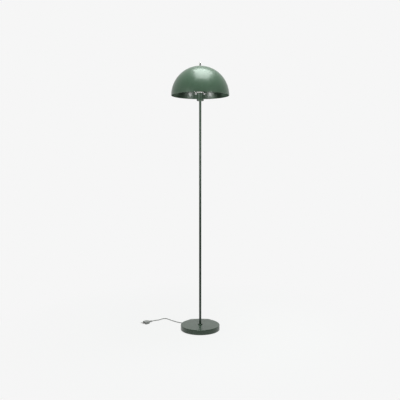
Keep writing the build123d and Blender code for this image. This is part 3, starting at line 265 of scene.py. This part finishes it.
def soft_pvc(finishes, name):
    """Flexible PVC of the lead and its mouldings: plain grey, dull, with a fine grain in its skin."""
    material, tree, shader, at = new_material(name, IOR=1.53)
    darker = [0.9 * channel for channel in finishes.lead[:3]] + [1.0]
    vary_colour(tree, shader, at, tuple(finishes.lead), tuple(darker), size_mm=25)
    vary_roughness(tree, shader, at, 0.42, 0.52, size_mm=4)
    raise_grain(tree, shader, at, size_mm=0.5, depth_mm=0.02, strength=0.3)
    return material


def core_insulation():
    """PVC of a single core: brown, a little glossier than the sheath."""
    material, tree, shader, at = new_material("core_pvc_brown", Roughness=0.4, IOR=1.53)
    vary_colour(tree, shader, at, linear("#5A3A28"), linear("#4C3122"), size_mm=3)
    return material


def loop_tape():
    """Woven hook and loop tape: black, fuzzy, with threads that show as ribs along it."""
    material, tree, shader, at = new_material("woven_loop_tape", Roughness=0.95)
    shader.inputs["Sheen Weight"].default_value = 0.35
    shader.inputs["Sheen Roughness"].default_value = 0.5
    vary_colour(tree, shader, at, linear("#1B1B1C"), linear("#29292B"), size_mm=0.8, detail=4.0)
    # Threads are 0.6 mm apart; drawn 1.974 mm apart so that they show
    scale = WAVE_PERIOD * per_metre(1.974)
    weave = {"bands_direction": "X", "Scale": scale, "Distortion": 1.5, "Detail": 2.0}
    threads = add_node(tree, "ShaderNodeTexWave", weave, {"Vector": at})
    relief = {"Strength": 0.7, "Distance": 0.2 * MM}
    bump = add_node(tree, "ShaderNodeBump", relief, {"Height": threads.outputs["Fac"]})
    tree.links.new(bump.outputs["Normal"], shader.inputs["Normal"])
    return material


# ---------------------------------------------------------------- settings


class LampFinishes(bpy.types.PropertyGroup):
    """Colours and gloss that a user may change."""

    paint: bpy.props.FloatVectorProperty(
        name="Paint",
        description="Powder coat of the shade, pole, cup and base",
        size=4,
        min=0.0,
        max=1.0,
        subtype="COLOR",
        default=linear("#425947"),
    )
    paint_roughness: bpy.props.FloatProperty(
        name="Paint roughness",
        description="Microscopic roughness of the powder coat",
        min=0.03,
        max=1.0,
        subtype="FACTOR",
        default=0.37,
    )
    paint_flow: bpy.props.FloatProperty(
        name="Paint flow",
        description="How far the powder has flowed out to a smooth skin",
        min=0.0,
        max=1.0,
        subtype="FACTOR",
        default=0.26,
    )
    nickel: bpy.props.FloatVectorProperty(
        name="Nickel",
        description="Finial, shade carrier, upper washer, switch bush and plug pins",
        size=4,
        min=0.0,
        max=1.0,
        subtype="COLOR",
        default=linear("#C9C8C5"),
    )
    ring_white: bpy.props.FloatVectorProperty(
        name="Shade ring",
        description="Ring that clamps the shade carrier on the lampholder",
        size=4,
        min=0.0,
        max=1.0,
        subtype="COLOR",
        default=linear("#EFEFEC"),
    )
    lead: bpy.props.FloatVectorProperty(
        name="Lead",
        description="Sheath of the mains lead, its gland and its plug",
        size=4,
        min=0.0,
        max=1.0,
        subtype="COLOR",
        default=linear("#BCBCBA"),
    )


class LampLead(bpy.types.PropertyGroup):
    """Sizes of the free mains lead."""

    diameter: bpy.props.FloatProperty(
        name="Diameter",
        description="Outside diameter of the sheath",
        min=0.003,
        max=0.012,
        unit="LENGTH",
        default=5 * MM,
    )
    length: bpy.props.FloatProperty(
        name="Length",
        description="Real length from the gland to the plug",
        min=1.0,
        max=3.0,
        unit="LENGTH",
        default=1.6,
    )


class LampStudio(bpy.types.PropertyGroup):
    """Camera and lights."""

    camera_at: bpy.props.FloatVectorProperty(
        name="Camera",
        description="Where the camera stands",
        subtype="TRANSLATION",
        unit="LENGTH",
        default=(-0.0011, -2.9, 0.9335),
    )
    camera_pitch: bpy.props.FloatProperty(
        name="Pitch",
        description="How far the camera looks down",
        subtype="ANGLE",
        default=math.radians(3.902),
    )
    lens: bpy.props.FloatProperty(
        name="Lens",
        description="Focal length on a 36 mm frame",
        unit="CAMERA",
        min=10,
        max=200,
        default=46.82,
    )
    backdrop: bpy.props.FloatVectorProperty(
        name="Backdrop",
        description="Pale colour of floor and background",
        size=4,
        min=0.0,
        max=1.0,
        subtype="COLOR",
        default=linear("#F6F6F6"),
    )
    top_light: bpy.props.FloatProperty(
        name="Top light",
        description="Power of the box over the shade",
        min=0.0,
        unit="POWER",
        default=26.7,
    )
    left_light: bpy.props.FloatProperty(
        name="Left light",
        description="Power of the front box at the left",
        min=0.0,
        unit="POWER",
        default=5.7,
    )
    right_light: bpy.props.FloatProperty(
        name="Right light",
        description="Power of the front box at the right",
        min=0.0,
        unit="POWER",
        default=4.1,
    )
    fill: bpy.props.FloatProperty(
        name="Fill",
        description="Level of the light from all round",
        min=0.0,
        max=2.0,
        default=0.16,
    )
    room: bpy.props.FloatProperty(
        name="Room",
        description="Level in reflections of the room before the lamp",
        min=0.0,
        max=1.0,
        default=0.05,
    )


def lamp_settings():
    """The scene's three groups of settings: finishes, lead and studio."""
    scene = bpy.context.scene
    return scene.lamp_finishes, scene.lamp_lead, scene.lamp_studio


def dress(material, *names):
    """Gives CAD nodes a material, in place of any that they had."""
    for name in names:
        mesh = NODES[name].data
        mesh.materials.clear()
        mesh.materials.append(material)


# ---------------------------------------------------------------- route of the free lead

# Control points of the lead in millimetres, as in the model: gland to hank, and hank to plug
GLAND_TIP = (66.0, 114.32, 8.0)
LEAD_TO_HANK = [GLAND_TIP, (79.2, 137.2, 8.0), (66.0, 160.0, 3.4)]
HANK_LEFT = -42.0
HANK_RIGHT = 40.0
HANK_LOW = 3.4
HANK_HIGH = 8.9
LOWER_ROWS = [160.0, 114.0, 154.5, 119.5, 149.0]
UPPER_ROWS = [149.0, 119.5, 154.5, 114.0, 160.0]
CLIMB = [(15.0, 149.0, HANK_LOW), (-15.0, 149.0, HANK_HIGH)]
LAST_FOLD = (160.0, 108.5)  # rows that the last, unfinished fold would join
LEAVES_AFTER = 55  # degrees of it that the lead follows
FOLD_STEPS = 6  # a full turn has two folds, so 14 points
LAST_STEPS = 2
FOLD_SWELL = 1.05  # the spline runs inside its points by about this much
HANK_TO_PLUG = [
    (-72.8, 135.1, HANK_HIGH),
    (-82.0, 122.5, 4.2),
    (-102.5, 101.0, 2.5),
    (-140.5, 127.5, 2.5),
    (-178.5, 165.0, 2.5),
    (-202.0, 195.2, 2.5),
    (-222.0, 196.0, 2.5),
    (-235.0, 182.5, 2.5),
    (-250.0, 163.8, 2.5),
    (-268.35, 144.75, 6.9),
    (-284.0, 132.3, 6.9),
]


def fold_points(side, y_from, y_to, z, turned=180, steps=FOLD_STEPS):
    """Points of one fold at the left (-1) or right (+1) end of the hank: a half turn, or less."""
    end = HANK_LEFT if side < 0 else HANK_RIGHT
    middle = (y_from + y_to) / 2
    half = (y_from - y_to) / 2
    points = []
    for step in range(steps + 1):
        angle = math.radians(turned) * step / steps
        swell = 1.0 if step in (0, steps) else FOLD_SWELL
        x = end + side * abs(half) * swell * math.sin(angle)
        points.append((x, middle + half * swell * math.cos(angle), z))
    return points


def lead_points():
    """The whole route from the gland to the plug, in millimetres."""
    points = list(LEAD_TO_HANK)
    for rows, z in ((LOWER_ROWS, HANK_LOW), (UPPER_ROWS, HANK_HIGH)):
        for number, (y_from, y_to) in enumerate(zip(rows, rows[1:])):
            points += fold_points(-1 if number % 2 == 0 else 1, y_from, y_to, z)
        if z == HANK_LOW:
            points += CLIMB
    points += fold_points(-1, *LAST_FOLD, HANK_HIGH, LEAVES_AFTER, LAST_STEPS)
    return points + HANK_TO_PLUG


# ---------------------------------------------------------------- tape round the hank

# In millimetres, at the middle of the tape's thickness, seen along X
TAPE_FRONT = 110.9
TAPE_BACK = 163.1
TAPE_LOW = 0.4
TAPE_TOP = 12.0
TAPE_CORNER = 2.0
TAPE_START = 128.0
CORNER_STEPS = 5
# Over its own start and on to the loose end, which lifts a little
TAPE_OVERLAP = [(122.0, 12.0), (124.5, 12.35), (127.0, 12.85), (140.0, 12.85), (147.0, 12.95)]
TAPE_END = [(151.0, 13.5), (154.0, 14.6)]
# Across the tape, from edge to edge and back: x and half the thickness, with thin woven edges
TAPE_SECTION = [(-6.0, 0.22), (-5.4, 0.4), (5.4, 0.4), (6.0, 0.22)]
END_NARROWING = 0.8  # the loose end is cut with round corners


def tape_path():
    """Middle line of the tape, as (y, z): once round the hank, then over its own start."""
    left, right = TAPE_FRONT + TAPE_CORNER, TAPE_BACK - TAPE_CORNER
    low, high = TAPE_LOW + TAPE_CORNER, TAPE_TOP - TAPE_CORNER
    path = [(TAPE_START, TAPE_TOP)]
    for y, z, first in ((right, high, 90), (right, low, 0), (left, low, -90), (left, high, -180)):
        for step in range(CORNER_STEPS + 1):
            angle = math.radians(first - 90 * step / CORNER_STEPS)
            path.append((y + TAPE_CORNER * math.cos(angle), z + TAPE_CORNER * math.sin(angle)))
    return path + TAPE_OVERLAP + TAPE_END


def tape_mesh():
    """Woven tape: a ring of eight points at every point of its path, closed at both ends."""
    path = tape_path()
    section = TAPE_SECTION + [(x, -half) for x, half in reversed(TAPE_SECTION)]
    points = []
    for number, (y, z) in enumerate(path):
        before, after = path[max(number - 1, 0)], path[min(number + 1, len(path) - 1)]
        along = Vector((after[0] - before[0], after[1] - before[1])).normalized()
        width = END_NARROWING if number == len(path) - 1 else 1.0
        for x, out in section:
            points.append(Vector((width * x, y - out * along.y, z + out * along.x)) * MM)
    count = len(section)
    faces = [tuple(range(count)), tuple(reversed(range(len(points) - count, len(points))))]
    for ring in range(len(path) - 1):
        for corner in range(count):
            here, beside = ring * count + corner, ring * count + (corner + 1) % count
            faces.append((here, here + count, beside + count, beside))
    mesh = bpy.data.meshes.new("hank_tape")
    mesh.from_pydata(points, [], faces)
    mesh.shade_smooth()
    mesh.set_sharp_from_angle(angle=math.radians(40))
    return mesh


# ---------------------------------------------------------------- studio

# Lights in metres, with how wide each beam opens in degrees
TOP_BOX_AT = (0.19, -0.17, 2.67)
TOP_BOX_SIZE = (1.07, 1.38)
TOP_BOX_SPREAD = 143
TOP_BOX_TINT = linear("#F4FFF9")  # a little cooler than the rest, as on the crown of the shade
FRONT_BOX_AWAY = 44  # degrees to either side of the camera
FRONT_BOX_DISTANCE = 2.3
FRONT_BOX_HEIGHT = 1.00
FRONT_BOX_SIZE = (0.53, 0.62)
FRONT_BOX_SPREAD = 65
FRONT_BOX_TILT = 23  # degrees that they look up
# In reflections the room is dim before the lamp and grows lighter up to the backdrop, between these two
# Y: in metres on the paper, where this gradient is painted light in the paper's glow, and as part of a
# direction in the world
ROOM_DIM = -0.52
ROOM_BRIGHT = 1.03
# White paper: its size and depth in metres, and its zones in metres from the pole
PAPER_HALF = 12.0
PAPER_DROP = 0.2 * MM  # keeps it clear of the pad that stands on it
SHADOW_FADES = 0.3  # as far as here it takes the full shadow
EVENLY_WHITE = 1.2  # and from here none
FOOT_PAINTED_LIGHT_FULL = 0.3
FOOT_PAINTED_LIGHT_ENDS = 0.7
# What it gives the camera, reflections and the lamp
PAPER_GLOW = 0.87
PAPER_MATT = linear("#7A7A7A")  # the part near the foot that light and shadow fall on
FOOT_PAINTED_LIGHT = 0.7  # painted pool of light: the glow that the paper round the foot adds in reflections, as if lit there
PAPER_BOUNCE = linear("#D1D1D1")


# ---------------------------------------------------------------- operators


class LAMP_OT_shade(bpy.types.Operator):
    """Finish the half-round shade"""

    bl_idname = "lamp.shade"
    bl_label = "Shade"

    def execute(self, context):
        finishes, _, _ = lamp_settings()
        dress(finish("powder_coated_steel_green", powder_coat, finishes), "shade_dome")
        return {"FINISHED"}


class LAMP_OT_stand(bpy.types.Operator):
    """Finish the painted stand: cup, pole, collar and base"""

    bl_idname = "lamp.stand"
    bl_label = "Stand"

    def execute(self, context):
        finishes, _, _ = lamp_settings()
        paint = finish("powder_coated_steel_green", powder_coat, finishes)
        dress(paint, "lampholder_cup", "pole_upper", "pole_middle", "pole_lower")
        dress(paint, "foot_collar", "base_cover")
        return {"FINISHED"}


class LAMP_OT_carrier(bpy.types.Operator):
    """Finish the wire carrier, the ring that clamps it, its washers and the finial"""

    bl_idname = "lamp.carrier"
    bl_label = "Carrier and finial"

    def execute(self, context):
        finishes, _, _ = lamp_settings()
        nickel = finish("polished_nickel_plate", nickel_plate, finishes)
        dress(nickel, "carrier_ring", "carrier_wires", "carrier_boss", "upper_washer", "finial")
        dress(fibre_washer(), "lower_washer")
        dress(urea_white(finishes), "shade_ring")
        return {"FINISHED"}


class LAMP_OT_lampholder(bpy.types.Operator):
    """Finish the lampholder and what is inside its cup"""

    bl_idname = "lamp.lampholder"
    bl_label = "Lampholder"

    def execute(self, context):
        dress(phenolic(), "holder_pot", "holder_sleeve", "switch_core")
        brass = finish("drawn_brass", drawn_brass)
        dress(brass, "screw_shell", "centre_contact", "terminal_screws")
        return {"FINISHED"}


class LAMP_OT_switch(bpy.types.Operator):
    """Finish the turn switch at the back of the cup"""

    bl_idname = "lamp.switch"
    bl_label = "Switch"

    def execute(self, context):
        finishes, _, _ = lamp_settings()
        dress(knob_plastic(), "switch_stem", "switch_knob")
        dress(finish("polished_nickel_plate", nickel_plate, finishes), "switch_bush")
        return {"FINISHED"}


class LAMP_OT_bulb(bpy.types.Operator):
    """Finish the globe bulb"""

    bl_idname = "lamp.bulb"
    bl_label = "Bulb"

    def execute(self, context):
        dress(finish("drawn_brass", drawn_brass), "bulb_contact")
        dress(cap_glass(), "bulb_insulator")
        dress(cap_aluminium(), "bulb_cap")
        dress(bulb_housing_white(), "bulb_housing")
        dress(opal_diffuser(), "bulb_globe")
        return {"FINISHED"}


class LAMP_OT_inside(bpy.types.Operator):
    """Finish the weight, the rods and the fittings that hold the lamp together"""

    bl_idname = "lamp.inside"
    bl_label = "Weight, rods and fittings"

    def execute(self, context):
        dress(cast_iron(), "base_weight")
        dress(foam_pad(), "base_pad")
        dress(
            zinc_plate(),
            "recess_plate",
            "plate_screws",
            "base_rod",
            "base_washer",
            "base_nut",
            "pole_bushes",
            "joint_rods",
            "top_rod",
            "cup_washer",
            "cup_nut",
        )
        dress(core_insulation(), "lead_cores")
        return {"FINISHED"}


class LAMP_OT_lead(bpy.types.Operator):
    """Lay the free mains lead from the gland to the plug, and finish the gland and the lead inside"""

    bl_idname = "lamp.lead"
    bl_label = "Mains lead"

    def execute(self, context):
        finishes, lead, _ = lamp_settings()
        curve = bpy.data.curves.new("mains_lead", "CURVE")
        curve.dimensions = "3D"
        curve.bevel_depth = lead.diameter / 2
        curve.bevel_resolution = 4
        curve.resolution_u = 6
        curve.use_fill_caps = True
        spline = curve.splines.new("NURBS")
        points = lead_points()
        spline.points.add(len(points) - 1)
        for place, point in zip(spline.points, points):
            place.co = (*(Vector(point) * MM), 1.0)
        spline.order_u = 3
        spline.use_endpoint_u = True
        mains_lead = bpy.data.objects.new("mains_lead", curve)
        context.scene.collection.objects.link(mains_lead)
        sheath = soft_pvc(finishes, "extruded_pvc_sheath")
        curve.materials.append(sheath)
        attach(mains_lead, "lamp")
        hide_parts("cord_lead", "cord_hank", "cord_tail")
        dress(sheath, "inner_lead", "cord_gland")
        return {"FINISHED"}


class LAMP_OT_tie(bpy.types.Operator):
    """Wrap the tape that holds the hank"""

    bl_idname = "lamp.tie"
    bl_label = "Hank tie"

    def execute(self, context):
        mesh = tape_mesh()
        mesh.materials.append(loop_tape())
        tape = bpy.data.objects.new("hank_tape", mesh)
        context.scene.collection.objects.link(tape)
        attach(tape, "lamp")
        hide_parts("cord_tie")
        return {"FINISHED"}


class LAMP_OT_plug(bpy.types.Operator):
    bl_idname = "lamp.plug"
    bl_label = "Plug"

    def execute(self, context):
        finishes, lead, _ = lamp_settings()
        dress(soft_pvc(finishes, "moulded_pvc_plug"), "plug_body")
        dress(finish("polished_nickel_plate", nickel_plate, finishes), "plug_pins")
        return {"FINISHED"}


class LAMP_OT_stage(bpy.types.Operator):
    """Set up the floor, the backdrop, the lights and the camera"""

    bl_idname = "lamp.stage"
    bl_label = "Studio"

    def execute(self, context):
        _, _, studio = lamp_settings()
        self.floor(studio)
        self.world(studio)
        self.lights(studio)
        self.camera(studio)
        context.scene.view_settings.view_transform = "Standard"
        return {"FINISHED"}

    def floor(self, studio):
        """Sweep of white paper under and behind the lamp."""
        half = PAPER_HALF
        mesh = bpy.data.meshes.new("studio_floor")
        corners = [(-half, -half, 0), (half, -half, 0), (half, half, 0), (-half, half, 0)]
        mesh.from_pydata(corners, [], [(0, 1, 2, 3)])
        floor = bpy.data.objects.new("studio_floor", mesh)
        floor.location.z = -PAPER_DROP
        bpy.context.scene.collection.objects.link(floor)
        mesh.materials.append(self.paper(studio))

    def paper(self, studio):
        """The sweep's paper: takes shadow round the foot, is evenly white further out. In reflections
        its glow is painted light: dim in front of the lamp, lighter behind it, with a painted pool of
        light round the foot.
        """
        material = bpy.data.materials.new("seamless_paper")
        material.use_nodes = True
        tree = material.node_tree
        tree.nodes.clear()
        at = add_node(tree, "ShaderNodeTexCoord").outputs["Object"]
        white = tuple(studio.backdrop)
        glow = add_node(tree, "ShaderNodeEmission", {"Color": white, "Strength": PAPER_GLOW})
        matt = add_node(tree, "ShaderNodeBsdfDiffuse", {"Color": PAPER_MATT})
        near = add_node(tree, "ShaderNodeAddShader", links={0: glow.outputs[0], 1: matt.outputs[0]})
        far = add_node(tree, "ShaderNodeEmission", {"Color": white})
        distance = add_node(tree, "ShaderNodeVectorMath", {"operation": "LENGTH"}, {0: at})
        limits = {"From Min": SHADOW_FADES, "From Max": EVENLY_WHITE}
        fade = add_node(tree, "ShaderNodeMapRange", limits, {"Value": distance.outputs["Value"]})
        by_distance = {0: fade.outputs["Result"], 1: near.outputs[0], 2: far.outputs[0]}
        seen = add_node(tree, "ShaderNodeMixShader", links=by_distance)
        limits = {
            "From Min": FOOT_PAINTED_LIGHT_FULL,
            "From Max": FOOT_PAINTED_LIGHT_ENDS,
            "To Min": FOOT_PAINTED_LIGHT,
            "To Max": 0.0,
        }
        # Painted light in reflections: the paper glows dimmer in front, lighter behind, and brighter
        # round the foot
        lit = add_node(tree, "ShaderNodeMapRange", limits, {"Value": distance.outputs["Value"]})
        both = {0: self.room_level(tree, at, studio), 1: lit.outputs["Result"]}
        level = add_node(tree, "ShaderNodeMath", {"operation": "ADD", "use_clamp": True}, both)
        strength = {"Strength": level.outputs[0]}
        mirrored = add_node(tree, "ShaderNodeEmission", {"Color": white}, strength)
        bounced = add_node(tree, "ShaderNodeBsdfDiffuse", {"Color": PAPER_BOUNCE})
        path = add_node(tree, "ShaderNodeLightPath")
        by_gloss = {0: path.outputs["Is Glossy Ray"], 1: bounced.outputs[0], 2: mirrored.outputs[0]}
        unseen = add_node(tree, "ShaderNodeMixShader", links=by_gloss)
        by_camera = {0: path.outputs["Is Camera Ray"], 1: unseen.outputs[0], 2: seen.outputs[0]}
        final = add_node(tree, "ShaderNodeMixShader", links=by_camera)
        add_node(tree, "ShaderNodeOutputMaterial", links={"Surface": final.outputs[0]})
        return material

    def room_level(self, tree, at, studio):
        """Level of the room in reflections: white paper behind the lamp, a dim room before it."""
        axes = add_node(tree, "ShaderNodeSeparateXYZ", links={"Vector": at})
        limits = {"From Min": ROOM_DIM, "From Max": ROOM_BRIGHT, "To Min": studio.room, "To Max": 1.0}
        level = add_node(tree, "ShaderNodeMapRange", limits, {"Value": axes.outputs["Y"]})
        return level.outputs["Result"]

    def world(self, studio):
        """Backdrop for the camera, a room for reflections and glass, and a plain fill for the rest."""
        world = bpy.data.worlds.new("studio")
        bpy.context.scene.world = world
        world.use_nodes = True
        tree = world.node_tree
        tree.nodes.clear()
        white = tuple(studio.backdrop)
        direction = add_node(tree, "ShaderNodeTexCoord").outputs["Generated"]
        path = add_node(tree, "ShaderNodeLightPath")
        shown = add_node(tree, "ShaderNodeBackground", {"Color": white, "Strength": 1.0})
        level = self.room_level(tree, direction, studio)
        reflected = add_node(tree, "ShaderNodeBackground", {"Color": white}, {"Strength": level})
        even = {"Color": linear("#FFFFFF"), "Strength": studio.fill}
        fill = add_node(tree, "ShaderNodeBackground", even)
        rays = {0: path.outputs["Is Glossy Ray"], 1: path.outputs["Is Transmission Ray"]}
        mirrored = add_node(tree, "ShaderNodeMath", {"operation": "MAXIMUM"}, rays)
        by_gloss = {0: mirrored.outputs[0], 1: fill.outputs[0], 2: reflected.outputs[0]}
        unseen = add_node(tree, "ShaderNodeMixShader", links=by_gloss)
        by_camera = {0: path.outputs["Is Camera Ray"], 1: unseen.outputs[0], 2: shown.outputs[0]}
        final = add_node(tree, "ShaderNodeMixShader", links=by_camera)
        add_node(tree, "ShaderNodeOutputWorld", links={"Surface": final.outputs[0]})

    def lights(self, studio):
        """A large box above the shade, and two in front, tilted up to light the shade's inside."""
        level = (0.0, 0.0, 0.0)
        power = studio.top_light
        top = self.box_light("top_box", TOP_BOX_AT, TOP_BOX_SIZE, level, TOP_BOX_SPREAD, power)
        top.data.color = TOP_BOX_TINT[:3]
        powers = {"left_box": studio.left_light, "right_box": studio.right_light}
        for side, (name, power) in zip((-1, 1), powers.items()):
            away = side * math.radians(FRONT_BOX_AWAY)
            x = FRONT_BOX_DISTANCE * math.sin(away)
            y = -FRONT_BOX_DISTANCE * math.cos(away)
            turn = (math.radians(90 + FRONT_BOX_TILT), 0.0, away)
            at = (x, y, FRONT_BOX_HEIGHT)
            self.box_light(name, at, FRONT_BOX_SIZE, turn, FRONT_BOX_SPREAD, power)

    def box_light(self, name, at, size, turn, spread, power):
        """One soft box: an area light that no camera sees, with a grid that narrows its beam."""
        light = bpy.data.lights.new(name, "AREA")
        light.shape = "RECTANGLE"
        light.size, light.size_y = size
        light.energy = power
        light.spread = math.radians(spread)
        box = bpy.data.objects.new(name, light)
        box.location = at
        box.rotation_euler = turn
        box.visible_camera = False
        bpy.context.scene.collection.objects.link(box)
        return box

    def camera(self, studio):
        """Camera in front of the lamp, a little above its middle, looking slightly down."""
        data = bpy.data.cameras.new("studio_camera")
        data.sensor_width = 36.0
        data.lens = studio.lens
        data.clip_end = 100.0
        camera = bpy.data.objects.new("studio_camera", data)
        camera.location = studio.camera_at
        camera.rotation_euler = (math.radians(90) - studio.camera_pitch, 0.0, 0.0)
        bpy.context.scene.collection.objects.link(camera)
        bpy.context.scene.camera = camera


class LAMP_PT_panel(bpy.types.Panel):
    """Buttons of the lamp's pieces in the sidebar"""

    bl_idname = "LAMP_PT_panel"
    bl_label = "Mushroom floor lamp"
    bl_space_type = "VIEW_3D"
    bl_region_type = "UI"
    bl_category = "Lamp"

    def draw(self, context):
        column = self.layout.column()
        for operator in OPERATORS:
            column.operator(operator.bl_idname)


OPERATORS = (
    LAMP_OT_stage,
    LAMP_OT_lead,
    LAMP_OT_tie,
    LAMP_OT_plug,
    LAMP_OT_shade,
    LAMP_OT_stand,
    LAMP_OT_carrier,
    LAMP_OT_lampholder,
    LAMP_OT_switch,
    LAMP_OT_bulb,
    LAMP_OT_inside,
)
GROUPS = {"lamp_finishes": LampFinishes, "lamp_lead": LampLead, "lamp_studio": LampStudio}


def register():
    for group in GROUPS.values():
        bpy.utils.register_class(group)
    for operator in OPERATORS:
        bpy.utils.register_class(operator)
    bpy.utils.register_class(LAMP_PT_panel)
    for name, group in GROUPS.items():
        setattr(bpy.types.Scene, name, bpy.props.PointerProperty(type=group))


def unregister():
    for name in GROUPS:
        delattr(bpy.types.Scene, name)
    bpy.utils.unregister_class(LAMP_PT_panel)
    for operator in reversed(OPERATORS):
        bpy.utils.unregister_class(operator)
    for group in reversed(GROUPS.values()):
        bpy.utils.unregister_class(group)


def main():
    register()
    for operator in OPERATORS:
        section, step = operator.bl_idname.split(".")
        getattr(getattr(bpy.ops, section), step)()


if __name__ == "__main__":
    main()
